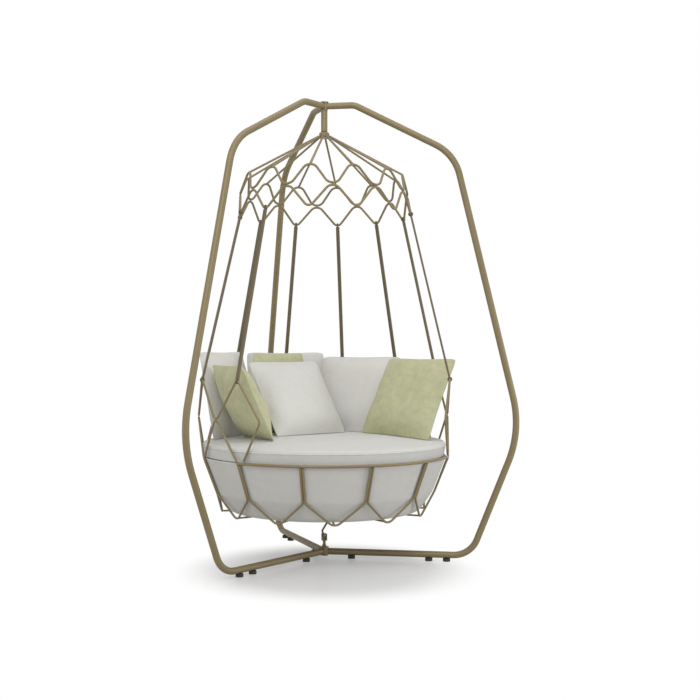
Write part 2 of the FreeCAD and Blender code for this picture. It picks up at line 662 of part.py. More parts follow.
# Back lattice: one long zigzag wire from the rim bar up round the back and down to the rim bar again.
def back_lattice():
    mesh_high = size("mesh_z") + value("(lattice_wire + weld_gap) / 2")
    end_z = size("rim_z") + value("rim_bar / 2 + lattice_wire / 2 + weld_gap")
    start, free = size("free_end_bearing"), size("free_bend_bearing")
    marks = [polar(size("rim_r"), start, end_z), polar(size("mesh_r"), free, size("mesh_z"))]
    bends = [0, size("mesh_bend")]
    for column in TIED_COLUMNS:
        marks.append(polar(size("tie_r"), column * PITCH, size("tie_z")))
        bends.append(size("tie_bend"))
        if column != TIED_COLUMNS[-1]:
            marks.append(polar(size("mesh_r"), (column + 0.5) * PITCH, mesh_high))
            bends.append(size("mesh_bend"))
    marks += [polar(size("mesh_r"), -free, size("mesh_z")), polar(size("rim_r"), -start, end_z)]
    bends += [size("mesh_bend"), 0]
    return bar_through(marks, bends, size("lattice_wire"))


solid("back_lattice", back_lattice())


# Basket cells: each is one bent wire beside its neighbours. The front ones end under the rim bar.
def beside(radius, column, side, height):
    """A point on one wire of the pair that runs down a column."""
    offset = math.degrees(value("(lattice_wire + weld_gap) / 2") / radius)
    return polar(radius, column * PITCH + side * offset, height)


def cell_marks(column, top_z):
    left = [beside(size("knee_r"), column, 1, size("knee_z")), beside(size("rim_r"), column, 1, top_z)]
    right = [beside(size("knee_r"), column + 1, -1, size("knee_z")),
             beside(size("rim_r"), column + 1, -1, top_z)]
    keel = polar(size("keel_r"), (column + 0.5) * PITCH, size("keel_z"))
    return left, keel, right


def closed_cell(column):
    left, keel, right = cell_marks(column, size("rim_z"))
    mesh_low = size("mesh_z") - value("(lattice_wire + weld_gap) / 2")
    mesh = polar(size("mesh_r"), (column + 0.5) * PITCH, mesh_low)
    bends = [size(name) for name in
             ("keel_bend", "knee_bend", "rim_bend", "mesh_bend", "rim_bend", "knee_bend")]
    return loop_through([keel] + right + [mesh] + left[::-1], bends, size("lattice_wire"), (1, 2, 4, 5))


def front_cell(column):
    left, keel, right = cell_marks(column, size("rim_z") - value("rim_bar / 2 + 2 * weld_gap"))
    bends = [0, size("knee_bend"), size("keel_bend"), size("knee_bend"), 0]
    return bar_through(left[::-1] + [keel] + right, bends, size("lattice_wire"), (1, 3))


for number, column in enumerate(TIED_COLUMNS[:-1], start=1):
    solid(f"side_cell_{number}", closed_cell(column))
for number, column in enumerate(range(-2, 2), start=1):
    solid(f"front_cell_{number}", front_cell(column))


# Rim bar: the thicker arc across the front of the seat, between the outermost pairs of wires.
def rim_bar():
    edge = TIED_COLUMNS[0] * PITCH - math.degrees(value("weld_gap") / size("rim_r"))
    points = [polar(size("rim_r"), bearing, size("rim_z")) for bearing in (-edge, 0, edge)]
    return swept([Part.Arc(*points).toShape()], size("rim_bar"))


solid("rim_bar", rim_bar())

# Keel: a holed plate under the tub, with a spoke to the lowest bend of each cell.
turned("keel_plate", (("keel_hole_dia / 2", "keel_z - keel_plate_thickness / 2"),
                      ("keel_plate_dia / 2", "keel_z - keel_plate_thickness / 2"),
                      ("keel_plate_dia / 2", "plate_high"), ("keel_hole_dia / 2", "plate_high")))


def keel_spokes():
    inner = value("keel_plate_dia / 2 + weld_gap")
    outer = value("keel_r - lattice_wire / 2 - weld_gap")
    return Part.makeCompound([
        Part.makeCylinder(value("keel_spoke_dia / 2"), outer - inner,
                          polar(inner, (column + 0.5) * PITCH, size("keel_z")),
                          polar(1, (column + 0.5) * PITCH, 0)) for column in range(COLUMNS)])


solid("keel_spokes", keel_spokes())

# Tether: a post on the base hub, a knuckle with two crossed pins and a bent rod with a ball on top.
post = doc.addObject("Part::Cone", "post_cone")
post.setExpression("Radius1", formula("post_dia / 2"))
post.setExpression("Radius2", formula("tongue_dia / 2"))
post.setExpression("Height", formula("post_height"))
put(post, Rotation(), ("0", "0", "base_hub_high"))
post_tongue = block("post_tongue", ("tongue_width", "tongue_dia", "knuckle_pin_rise"),
                    ("0", "0", "base_hub_high + post_height"))
post_round = cylinder("post_round", "tongue_dia", "tongue_width", "x",
                      ("-tongue_width / 2", "0", "lower_pin_z"))
post_hole = cylinder("post_hole", "knuckle_pin_dia + 2 * running_gap", "2 * tongue_width", "x",
                     ("-tongue_width", "0", "lower_pin_z"))
keep(cut("tether_post", fused("post_solid", post, post_tongue, post_round), post_hole), "tether_post")

knuckle_low = "lower_pin_z - knuckle_below"
knuckle_height = "knuckle_pitch + knuckle_below + knuckle_above"
slot = "tongue_width + 2 * slot_play"
wide = "2 * knuckle_width"
knuckle_solid = block("knuckle_solid", ("knuckle_width", "knuckle_width", knuckle_height),
                      ("0", "0", knuckle_low))
slot_depth = "knuckle_below + tongue_dia / 2 + slot_room"
lower_slot = block("lower_slot", (slot, wide, slot_depth), ("0", "0", knuckle_low))
upper_slot = block("upper_slot", (wide, slot, slot_depth),
                   ("0", "0", "upper_pin_z - tongue_dia / 2 - slot_room"))
pin_holes = [cylinder(f"knuckle_hole_{axis}", "knuckle_pin_dia + 2 * running_gap", wide, axis, at)
             for axis, at in (("x", ("-knuckle_width", "0", "lower_pin_z")),
                              ("y", ("0", "-knuckle_width", "upper_pin_z")))]
keep(cut("tether_knuckle", knuckle_solid, fused("knuckle_cuts", lower_slot, upper_slot, *pin_holes)),
     "tether_knuckle")
knuckle_pins = [cylinder(f"knuckle_pin_{axis}", "knuckle_pin_dia", "knuckle_width", axis, at)
                for axis, at in (("x", ("-knuckle_width / 2", "0", "lower_pin_z")),
                                 ("y", ("0", "-knuckle_width / 2", "upper_pin_z")))]
pins = doc.addObject("Part::Compound", "knuckle_pins")
pins.Links = knuckle_pins
keep(pins, "knuckle_pins")


def tether_rod():
    pin = size("upper_pin_z")
    half = size("tongue_width") / 2
    ball_z = size("plate_high") + size("tether_slack")
    kink_z = pin + size("tether_kink_rise")
    neck_z = size("keel_z") - size("tether_neck_drop")
    bow_z = (kink_z + 2 * neck_z) / 3
    marks = [Vector(0, 0, pin), Vector(-size("tether_kink_x"), 0, kink_z),
             Vector(size("tether_bow_x"), 0, bow_z), Vector(0, 0, neck_z), Vector(0, 0, ball_z)]
    bends = [0] + [size("tether_bend")] * 3 + [0]
    groups = bend_edges(marks, bends)
    rod = swept([edge for group in groups for edge in group], size("tether_dia"))
    end = Part.makeCylinder(size("tongue_dia") / 2, 2 * half, Vector(0, -half, pin), Vector(0, 1, 0))
    hole = Part.makeCylinder(value("knuckle_pin_dia / 2 + running_gap"), 4 * half,
                             Vector(0, -2 * half, pin), Vector(0, 1, 0))
    return rod.fuse(end).cut(hole).removeSplitter()


def tether_ball():
    centre = Vector(0, 0, size("plate_high") + size("tether_slack"))
    ball = Part.makeSphere(size("tether_ball_dia") / 2, centre)
    socket = Part.makeCylinder(value("tether_dia / 2 + running_gap"), size("tether_ball_dia"), centre,
                               Vector(0, 0, -1))
    return ball.cut(socket)


solid("tether_rod", tether_rod())
solid("tether_ball", tether_ball())


# Upholstery: a padded tub in the wires, a foam base in it and a round crowned seat cushion.
def flat(radius, height):
    return Vector(radius, 0, height)


def tub_side(inset):
    """Heel, knee and rim of the tub's side, moved in by a wall."""
    room = value("lattice_wire / 2 + tub_clear") + inset
    return (flat(size("tub_flat_r") - inset / 2, size("tub_low") + inset),
            flat(size("knee_r") - room, size("knee_z")), flat(size("rim_r") - room, size("rim_z")))


def tub():
    well = size("well_dia") / 2
    wall = size("tub_wall")
    heel, knee, rim = tub_side(0)
    inner_heel, inner_knee, inner_rim = tub_side(wall)
    points = [flat(well, heel.z), heel, knee, rim, inner_rim, inner_knee, inner_heel,
              flat(well, inner_heel.z)]
    bends = [0, size("tub_heel"), size("tub_knee"), 0, 0, size("tub_knee") + wall, size("tub_heel"), 0]
    return turned_soft(points, bends)


def inner_wall_r(height, room):
    """Radius inside the tub between its knee and its rim."""
    heel, knee, rim = tub_side(size("tub_wall") + room)
    return knee.x + (rim.x - knee.x) * (height - knee.z) / (rim.z - knee.z)


def seat_foam():
    room = 4 * size("weld_gap")
    heel, knee, _ = tub_side(size("tub_wall") + room)
    low = size("tub_low") + size("tub_wall") + size("weld_gap")
    high = size("foam_high")
    well = size("well_dia") / 2
    well_high = size("tub_low") + size("well_depth")
    points = [flat(0, well_high), flat(well, well_high), flat(well, low), flat(heel.x, low), knee,
              flat(inner_wall_r(high, room), high), flat(0, high)]
    bends = [0, 0, 0, size("tub_heel"), size("tub_knee"), 0, 0]
    return turned_soft(points, bends)


def cushion_outline():
    low = size("foam_high") + size("weld_gap")
    room = 4 * size("weld_gap")
    lip = size("rim_z") + size("cushion_lip")
    edge = size("rim_z") + size("cushion_edge")
    crown = size("rim_z") + size("cushion_crown")
    outer = size("cushion_r")
    points = [flat(0, low), flat(inner_wall_r(low, room), low), flat(inner_wall_r(lip, room), lip),
              flat(outer, lip), flat(outer, edge), flat(outer / 2, crown), flat(0, crown)]
    bends = [0, 0, 0, size("cushion_lip"), size("cushion_round"), outer, 0]
    return points, bends


def cushion_line():
    """Points along the cushion's upper side, from its middle to its edge."""
    middle = size("rim_z") + size("cushion_edge") - size("cushion_round")
    points = [point for edge in soft_outline(*cushion_outline()) for point in edge.discretize(24)]
    return sorted((point for point in points if point.z >= middle), key=lambda point: point.x)


CUSHION_LINE = cushion_line()
solid("seat_tub", tub())
solid("seat_foam", seat_foam())
solid("seat_cushion", turned_soft(*cushion_outline()))


# Pillows: square, crowned on both faces, with sides that draw in between the corners. Each leans back
# and stands on the seat cushion. The two numbers are the place of its middle, to the right of the hub
# axis and behind it, as shares of the radius inside the rods; then comes the bearing of its back.
PILLOWS = (
    ("white_pillow_left", "large_pillow", "full_pillow", -0.6918, 0.5597, -135, "steep_lean"),
    ("white_pillow_back", "large_pillow", "pressed_pillow", -0.0165, 0.926, 180, "steep_lean"),
    ("white_pillow_right", "large_pillow", "pressed_pillow", 0.53, 0.568, 140, "middle_lean"),
    ("white_pillow_front", "large_pillow", "full_pillow", -0.104, 0.408, -162, "front_lean"),
    ("green_pillow_left", "small_pillow", "full_pillow", -0.7079, 0.0162, -82, "middle_lean"),
    ("green_pillow_back", "large_pillow", "pressed_pillow", -0.1461, 0.67, -150, "steep_lean"),
    ("green_pillow_right", "large_pillow", "full_pillow", 0.7744, -0.031, 116, "slack_lean"),
)
PILLOW_STATIONS = (-1, -0.75, -0.5, -0.25, 0, 0.25, 0.5, 0.75, 1)
PILLOW_FULLNESS = 2.2


def pillow_section(edge, thickness, station):
    """A lens-shaped section upright through the pillow; station runs from -1 to 1 across it."""
    across = edge / 2 * station
    half = edge / 2 - size("pillow_draw") * (1 - station ** 2)
    crown = size("pillow_seam") + (thickness - size("pillow_seam")) * (1 - abs(station) ** PILLOW_FULLNESS)
    low, high = Vector(across, -half, 0), Vector(across, half, 0)
    return Part.Wire([Part.Arc(low, Vector(across, 0, crown / 2), high).toShape(),
                      Part.Arc(high, Vector(across, 0, -crown / 2), low).toShape()])


def pillow_body(edge, thickness):
    sections = [pillow_section(edge, thickness, station) for station in PILLOW_STATIONS]
    return Part.makeLoft(sections, True, False)


def cushion_top(radius):
    """Height of the seat cushion's upper side at a distance from the axis, or None past its edge."""
    for near, far in zip(CUSHION_LINE, CUSHION_LINE[1:]):
        if near.x <= radius < far.x:
            return near.z + (far.z - near.z) * (radius - near.x) / (far.x - near.x)
    return None


def pillow(label, edge, thickness, across, behind, bearing, lean):
    shape = pillow_body(size(edge), size(thickness))
    place = Vector(across, behind, 0) * size("back_r")
    stand = Rotation(UP, bearing + 180) * Rotation(Vector(1, 0, 0), 90 - size(lean))
    surface, _ = shape.tessellate(1)
    gaps = []
    for point in surface:
        turned_point = stand.multVec(point) + place
        seat = cushion_top(math.hypot(turned_point.x, turned_point.y))
        if seat is not None:
            gaps.append(turned_point.z - seat)
    solid(label, shape, Placement(place + UP * (size("weld_gap") - min(gaps)), stand))


for settings in PILLOWS:
    pillow(*settings)

doc.recompute()
for obj in doc.Objects:
    if {"Invalid", "Error"} & set(obj.State):
        raise RuntimeError(f"{obj.Label} failed: {obj.State}")
for piece in parts:
    if piece.Shape.isNull() or not piece.Shape.isValid() or not piece.Shape.Solids:
        raise RuntimeError(f"{piece.Label} has no valid solid")
os.makedirs("parts", exist_ok=True)
for piece in parts:
    piece.Shape.exportStep(os.path.join("parts", piece.Label + ".step"))
print(len(parts), "pieces written; the hub axis stands at y =", round(AXIS_Y, 2))
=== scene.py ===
import math

import bpy
import numpy as np
from mathutils import Matrix, Vector


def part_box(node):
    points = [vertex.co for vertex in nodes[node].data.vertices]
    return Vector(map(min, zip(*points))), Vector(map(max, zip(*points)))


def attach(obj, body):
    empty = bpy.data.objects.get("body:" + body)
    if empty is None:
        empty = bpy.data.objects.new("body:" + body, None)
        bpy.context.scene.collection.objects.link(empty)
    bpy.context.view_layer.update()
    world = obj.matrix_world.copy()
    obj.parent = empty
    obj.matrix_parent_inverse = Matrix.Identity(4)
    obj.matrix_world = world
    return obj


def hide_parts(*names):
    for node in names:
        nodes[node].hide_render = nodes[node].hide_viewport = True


# Hanging sofa: a stand of three bent tube legs, a universal joint with a swivel bearing, and a wire
# basket with upholstery that hangs from them on tie rods under a wavy wire canopy.
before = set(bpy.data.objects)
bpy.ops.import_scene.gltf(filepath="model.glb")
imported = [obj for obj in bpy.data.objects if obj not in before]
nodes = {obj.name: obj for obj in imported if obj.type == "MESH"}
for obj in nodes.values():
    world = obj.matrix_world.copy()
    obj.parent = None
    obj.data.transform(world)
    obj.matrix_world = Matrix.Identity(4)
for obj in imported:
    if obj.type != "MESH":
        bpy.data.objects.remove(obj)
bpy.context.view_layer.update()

# Stand: three legs of bent steel tube with a turned hub at the top and at the base.
# All of it is welded, ground smooth and powder coated in a satin champagne brown.
MOTTLE_SCALE = 9.0
MOTTLE_SHADES = (0.9, 1.1)
MOTTLE_ROUGHNESS = (-0.07, 0.07)
PEEL_SCALE = 700.0
PEEL_DEPTH = 0.00001
SPECK_SCALE = 160.0
PROUD_FROM = 0.53
PROUD_GAIN = 9.0
MOST_RUBBED = 0.3
COAT_METAL = 0.2
COAT_SPECULAR = 0.25
SHARP_EDGE = math.radians(35)
CHAMPAGNE = (0.245, 0.194, 0.106)
CHAMPAGNE_RUBBED = (0.38, 0.32, 0.22)
CHAMPAGNE_ROUGHNESS = 0.45


def texture_group(name, inputs, outputs):
    """A node group with named sockets; returns it with its input and output nodes."""
    group = bpy.data.node_groups.new(name, "ShaderNodeTree")
    for way, sockets in (("INPUT", inputs), ("OUTPUT", outputs)):
        for label, kind in sockets:
            group.interface.new_socket(label, in_out=way, socket_type="NodeSocket" + kind)
    return group, group.nodes.new("NodeGroupInput"), group.nodes.new("NodeGroupOutput")


def math_node(tree, operation, first, second=None, clamp=False):
    """One sum of a material's node tree; the operands are sockets or numbers."""
    node = tree.nodes.new("ShaderNodeMath")
    node.operation = operation
    node.use_clamp = clamp
    for socket, operand in zip(node.inputs, (first, second)):
        if isinstance(operand, (int, float)):
            socket.default_value = operand
        elif operand is not None:
            tree.links.new(operand, socket)
    return node.outputs[0]


def noise(tree, vector, scale, detail=2.0, roughness=0.5):
    """Soft noise; the scale is in spots to the metre."""
    node = tree.nodes.new("ShaderNodeTexNoise")
    node.inputs["Scale"].default_value = scale
    node.inputs["Detail"].default_value = detail
    node.inputs["Roughness"].default_value = roughness
    tree.links.new(vector, node.inputs["Vector"])
    return node.outputs["Fac"]


def mixed(tree, share, first, second):
    """Two colours mixed; each operand is a socket or a value."""
    node = tree.nodes.new("ShaderNodeMix")
    node.data_type = "RGBA"
    for name, operand in (("Factor_Float", share), ("A_Color", first), ("B_Color", second)):
        socket = next(s for s in node.inputs if s.identifier == name)
        if isinstance(operand, bpy.types.NodeSocket):
            tree.links.new(operand, socket)
        else:
            socket.default_value = operand
    return next(s for s in node.outputs if s.identifier == "Result_Color")


def span(tree, value, low, high):
    """A value from 0 to 1 spread between two limits."""
    node = tree.nodes.new("ShaderNodeMapRange")
    node.inputs["To Min"].default_value = low
    node.inputs["To Max"].default_value = high
    tree.links.new(value, node.inputs["Value"])
    return node.outputs["Result"]


def powder_coat_group():
    """Fine orange peel with faint mottling and a little rubbing on the proud edges."""
    group, given, result = texture_group(
        "powder_coat",
        (("Vector", "Vector"), ("Paint", "Color"), ("Rubbed", "Color"), ("Base Roughness", "Float")),
        (("Color", "Color"), ("Roughness", "Float"), ("Height", "Float")))
    vector = given.outputs["Vector"]
    mottle = noise(group, vector, MOTTLE_SCALE, detail=4.0)
    peel = noise(group, vector, PEEL_SCALE)
    speck = noise(group, vector, SPECK_SCALE, detail=3.0, roughness=0.7)
    shade = group.nodes.new("ShaderNodeHueSaturation")
    group.links.new(given.outputs["Paint"], shade.inputs["Color"])
    group.links.new(span(group, mottle, *MOTTLE_SHADES), shade.inputs["Value"])
    edge = group.nodes.new("ShaderNodeNewGeometry").outputs["Pointiness"]
    above = math_node(group, "SUBTRACT", edge, PROUD_FROM)
    proud = math_node(group, "MULTIPLY", above, PROUD_GAIN, True)
    rub = math_node(group, "MULTIPLY", proud, span(group, speck, 0.0, MOST_RUBBED))
    worn = mixed(group, rub, shade.outputs["Color"], given.outputs["Rubbed"])
    group.links.new(worn, result.inputs["Color"])
    uneven = span(group, mottle, *MOTTLE_ROUGHNESS)
    roughness = math_node(group, "ADD", given.outputs["Base Roughness"], uneven, True)
    group.links.new(roughness, result.inputs["Roughness"])
    group.links.new(peel, result.inputs["Height"])
    return group


POWDER_COAT = powder_coat_group()


def material(name):
    """A new material with its node tree, its shader and the place on the piece."""
    made = bpy.data.materials.new(name)
    made.use_nodes = True
    tree = made.node_tree
    shader = tree.nodes["Principled BSDF"]
    place = tree.nodes.new("ShaderNodeTexCoord").outputs["Object"]
    return made, tree, shader, place


def bumped(tree, shader, height, depth, strength=1.0):
    """A relief whose full height is a depth in metres."""
    bump = tree.nodes.new("ShaderNodeBump")
    bump.inputs["Strength"].default_value = strength
    bump.inputs["Distance"].default_value = depth
    tree.links.new(height, bump.inputs["Height"])
    tree.links.new(bump.outputs["Normal"], shader.inputs["Normal"])


def powder_coated(name, paint, rubbed, roughness):
    """A satin coat of one paint, with the tone that it has where it is rubbed."""
    made, tree, shader, place = material(name)
    coat = tree.nodes.new("ShaderNodeGroup")
    coat.node_tree = POWDER_COAT
    tree.links.new(place, coat.inputs["Vector"])
    coat.inputs["Paint"].default_value = (*paint, 1)
    coat.inputs["Rubbed"].default_value = (*rubbed, 1)
    coat.inputs["Base Roughness"].default_value = roughness
    tree.links.new(coat.outputs["Color"], shader.inputs["Base Color"])
    tree.links.new(coat.outputs["Roughness"], shader.inputs["Roughness"])
    bumped(tree, shader, coat.outputs["Height"], PEEL_DEPTH)
    shader.inputs["Metallic"].default_value = COAT_METAL
    shader.inputs["Specular IOR Level"].default_value = COAT_SPECULAR
    return made


def dress(finish, *names):
    """Give CAD nodes a finish, with smooth shading on all but their true edges."""
    for name in names:
        mesh = nodes[name].data
        mesh.materials.clear()
        mesh.materials.append(finish)
        mesh.polygons.foreach_set("use_smooth", [True] * len(mesh.polygons))
        mesh.set_sharp_from_angle(angle=SHARP_EDGE)


champagne = powder_coated("champagne_coat", CHAMPAGNE, CHAMPAGNE_RUBBED, CHAMPAGNE_ROUGHNESS)
dress(champagne, "left_leg", "right_leg", "rear_leg", "top_hub", "hub_cap", "base_hub", "stem", "tether_post")

# Feet: nine moulded rubber pads under the base runs, matt black with a little dust.
# Each is bonded to the tube and keeps it clear of the floor.
RUBBER_BLACK = (0.018, 0.017, 0.016, 1)
RUBBER_DUSTY = (0.07, 0.066, 0.06, 1)
RUBBER_ROUGHNESS = (0.6, 0.9)
DUST_SCALE = 60.0
MOST_DUST = 0.5
MOULD_GRAIN_SCALE = 900.0
MOULD_GRAIN_DEPTH = 0.0001


def pad_rubber():
    made, tree, shader, place = material("pad_rubber")
    dust = noise(tree, place, DUST_SCALE, detail=4.0, roughness=0.65)
    colour = mixed(tree, span(tree, dust, 0.0, MOST_DUST), RUBBER_BLACK, RUBBER_DUSTY)
    tree.links.new(colour, shader.inputs["Base Color"])
    tree.links.new(span(tree, dust, *RUBBER_ROUGHNESS), shader.inputs["Roughness"])
    bumped(tree, shader, noise(tree, place, MOULD_GRAIN_SCALE), MOULD_GRAIN_DEPTH)
    return made


rubber = pad_rubber()
dress(rubber, "feet")

# Hanger: the forked yokes, the cross, the bearing and the nut that carry the basket in the stem.
# They are turned from bar steel and left bare, with fine lathe marks and faint stains.
STEEL_CLEAN = (0.50, 0.49, 0.47, 1)
STEEL_STAINED = (0.36, 0.35, 0.33, 1)
STEEL_ROUGHNESS = (0.22, 0.42)
STAIN_SCALE = 45.0
LATHE_MARK_SCALE = 1800.0
LATHE_MARK_DEPTH = 0.00005


def turned_steel():
    made, tree, shader, place = material("turned_steel")
    split = tree.nodes.new("ShaderNodeSeparateXYZ")
    tree.links.new(place, split.inputs[0])
    marks = tree.nodes.new("ShaderNodeTexNoise")
    marks.noise_dimensions = "1D"
    marks.inputs["Scale"].default_value = LATHE_MARK_SCALE
    tree.links.new(split.outputs["Z"], marks.inputs["W"])
    stain = noise(tree, place, STAIN_SCALE, detail=4.0)
    tree.links.new(mixed(tree, stain, STEEL_CLEAN, STEEL_STAINED), shader.inputs["Base Color"])
    tree.links.new(span(tree, stain, *STEEL_ROUGHNESS), shader.inputs["Roughness"])
    shader.inputs["Metallic"].default_value = 1.0
    bumped(tree, shader, marks.outputs["Fac"], LATHE_MARK_DEPTH)
    return made


steel = turned_steel()
dress(steel, "upper_yoke", "joint_cross", "lower_yoke", "hanger_nut")
dress(steel, "upper_race", "lower_race", "bearing_balls")

# Canopy: a crown hub with spokes and two wavy rings of bent wire, welded where the waves touch.
# The same coat as the stand, laid over the finished weldment.
dress(champagne, "crown_hub", "canopy_spokes", "upper_wave", "lower_wave")

# Tie rods: straight flat bars with an eye welded on at each end, hooked round the canopy's hem and the
# basket. Their coat is a darker brown than the stand's.
ROD_BROWN = (0.15, 0.122, 0.074)
ROD_RUBBED = (0.28, 0.24, 0.17)
ROD_ROUGHNESS = 0.46
rod_coat = powder_coated("rod_coat", ROD_BROWN, ROD_RUBBED, ROD_ROUGHNESS)
dress(rod_coat, *[name for name in nodes if name.startswith("tie_rod")])

# Basket: a zigzag back wire, bent wire cells side by side, a thicker rim bar and the keel under the tub.
# Bent cold, welded in pairs and coated like the canopy.
basket_wires = [name for name in nodes if name.startswith(("side_cell", "front_cell"))]
dress(champagne, "back_lattice", "rim_bar", "keel_plate", "keel_spokes", *basket_wires)

# Tether: a coated knuckle on two bare steel pins over the base hub, and a bent rod whose rubber ball hangs
# slack in the tub. It stops the basket from swinging out against the legs.
dress(rod_coat, "tether_knuckle", "tether_rod")
dress(steel, "knuckle_pins")
dress(rubber, "tether_ball")

# Tub: a padded bowl of foam over a shell, in a pale outdoor weave, set down into the wires.
# Its side panel is drawn smooth over the heel and turned in over the rim.
THREADS_PER_METRE = 700.0
CROSSING_RELIEF = 0.3
CROWN_RELIEF = 0.35
SLUB_RELIEF = 0.35
SLUB_SCALE = 130.0
SLUB_SHADES = (0.94, 1.06)
TONE_SCALE = 22.0
TONE_SWING = (-2.0, 2.0)
# The next two numbers set the painted shade in the weave: where the relief lies below the level, the yarn
# darkens towards the gap colour by up to this share.
GAP_SHADE_LEVEL = 0.9
GAP_SHADE_SHARE = 0.55
WEAVE_ROUGHNESS = (0.78, 0.95)
WEAVE_DEPTH = 0.0004
WEAVE_STRENGTH = 0.6
WEAVE_SHEEN = 0.15
WEAVE_SHEEN_ROUGHNESS = 0.5
WEAVE_SPECULAR = 0.25
WRAP_R = 0.6


def weave_group():
    """Plain weave: threads cross over and under, with slubs and a soft change of tone over the cloth; the low
    gaps between the threads are darkened towards the gap colour as painted shade.
    """
    group, given, result = texture_group(
        "plain_weave",
        (("Vector", "Vector"), ("Yarn", "Color"), ("Gap Shade", "Color"), ("Threads", "Float"),
         ("Unevenness", "Float")),
        (("Color", "Color"), ("Roughness", "Float"), ("Height", "Float")))
    vector = given.outputs["Vector"]
    scaled = group.nodes.new("ShaderNodeVectorMath")
    scaled.operation = "SCALE"
    group.links.new(vector, scaled.inputs[0])
    group.links.new(given.outputs["Threads"], scaled.inputs["Scale"])
    split = group.nodes.new("ShaderNodeSeparateXYZ")
    group.links.new(scaled.outputs[0], split.inputs[0])
    across = math_node(group, "SINE", math_node(group, "MULTIPLY", split.outputs["X"], math.pi))
    along = math_node(group, "SINE", math_node(group, "MULTIPLY", split.outputs["Y"], math.pi))
    over = math_node(group, "MULTIPLY", across, along)
    weft_crown = math_node(group, "ABSOLUTE", across)
    warp_crown = math_node(group, "ABSOLUTE", along)
    crowns = math_node(group, "ADD", weft_crown, warp_crown)
    height = math_node(group, "ADD", math_node(group, "MULTIPLY", over, CROSSING_RELIEF),
                       math_node(group, "MULTIPLY", crowns, CROWN_RELIEF))
    slub = noise(group, vector, SLUB_SCALE, detail=3.0, roughness=0.6)
    tone = noise(group, vector, TONE_SCALE, detail=5.0, roughness=0.6)
    relief = math_node(group, "ADD", height, math_node(group, "MULTIPLY", slub, SLUB_RELIEF))
    # Painted shade: the yarn darkens towards the gap colour where the relief is low, between the threads.
    low = math_node(group, "SUBTRACT", GAP_SHADE_LEVEL, height, True)
    gap_shade_share = math_node(group, "MULTIPLY", low, GAP_SHADE_SHARE)
    thread_with_gap_shade = mixed(group, gap_shade_share, given.outputs["Yarn"], given.outputs["Gap Shade"])
    shade = group.nodes.new("ShaderNodeHueSaturation")
    group.links.new(thread_with_gap_shade, shade.inputs["Color"])
    swing = math_node(group, "MULTIPLY", span(group, tone, *TONE_SWING), given.outputs["Unevenness"])
    value = math_node(group, "MULTIPLY", span(group, slub, *SLUB_SHADES), math_node(group, "ADD", swing, 1.0))
    group.links.new(value, shade.inputs["Value"])
    group.links.new(shade.outputs["Color"], result.inputs["Color"])
    group.links.new(span(group, slub, *WEAVE_ROUGHNESS), result.inputs["Roughness"])
    group.links.new(relief, result.inputs["Height"])
    return group


PLAIN_WEAVE = weave_group()


def round_the_axis(tree, place):
    """Cloth coordinates of a side panel: the way round the axis in metres, and the height."""
    split = tree.nodes.new("ShaderNodeSeparateXYZ")
    tree.links.new(place, split.inputs[0])
    turn = math_node(tree, "ARCTAN2", split.outputs["Y"], split.outputs["X"])
    joined = tree.nodes.new("ShaderNodeCombineXYZ")
    tree.links.new(math_node(tree, "MULTIPLY", turn, WRAP_R), joined.inputs["X"])
    tree.links.new(split.outputs["Z"], joined.inputs["Y"])
    return joined.outputs[0]


def woven(name, yarn, gap, unevenness, wrapped=False):
    """A cloth of one yarn, with painted shade in the gaps between the threads; a wrapped one runs round the
    hub axis.
    """
    made, tree, shader, place = material(name)
    cloth = tree.nodes.new("ShaderNodeGroup")
    cloth.node_tree = PLAIN_WEAVE
    tree.links.new(round_the_axis(tree, place) if wrapped else place, cloth.inputs["Vector"])
    cloth.inputs["Yarn"].default_value = (*yarn, 1)
    cloth.inputs["Gap Shade"].default_value = (*gap, 1)
    cloth.inputs["Threads"].default_value = THREADS_PER_METRE
    cloth.inputs["Unevenness"].default_value = unevenness
    tree.links.new(cloth.outputs["Color"], shader.inputs["Base Color"])
    tree.links.new(cloth.outputs["Roughness"], shader.inputs["Roughness"])
    bumped(tree, shader, cloth.outputs["Height"], WEAVE_DEPTH, WEAVE_STRENGTH)
    shader.inputs["Sheen Weight"].default_value = WEAVE_SHEEN
    shader.inputs["Sheen Roughness"].default_value = WEAVE_SHEEN_ROUGHNESS
    shader.inputs["Specular IOR Level"].default_value = WEAVE_SPECULAR
    return made


def rounded(profile, steps=10):
    """A flat outline through (radius, height, rounding) corners, with a soft bend at each rounding."""
    corners = np.array([row[:2] for row in profile], float)
    line = []
    for index, here in enumerate(corners):
        rounding = profile[index][2]
        if rounding == 0:
            line.append(here)
            continue
        back = corners[index - 1] - here
        ahead = corners[index + 1] - here
        back, ahead = back / np.linalg.norm(back), ahead / np.linalg.norm(ahead)
        half = math.acos(np.clip(back @ ahead, -1, 1)) / 2
        start = here + back * rounding / math.tan(half)
        finish = here + ahead * rounding / math.tan(half)
        for step in range(steps + 1):
            share = step / steps
            line.append((1 - share) ** 2 * start + 2 * share * (1 - share) * here + share ** 2 * finish)
    return np.array(line)


OUTLINE_GAP = 0.012
LATHE_TURNS = 288
ON_AXIS = 1e-6
plate_low, plate_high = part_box("keel_plate")
hub_axis = Vector(((plate_low.x + plate_high.x) / 2, (plate_low.y + plate_high.y) / 2, 0))


def evenly(line):
    """The same outline with its points no more than the outline gap apart."""
    points = [line[0]]
    for start, finish in zip(line, line[1:]):
        pieces = max(1, math.ceil(np.linalg.norm(finish - start) / OUTLINE_GAP))
        for piece in range(1, pieces + 1):
            points.append(start + (finish - start) * piece / pieces)
    return np.array(points)


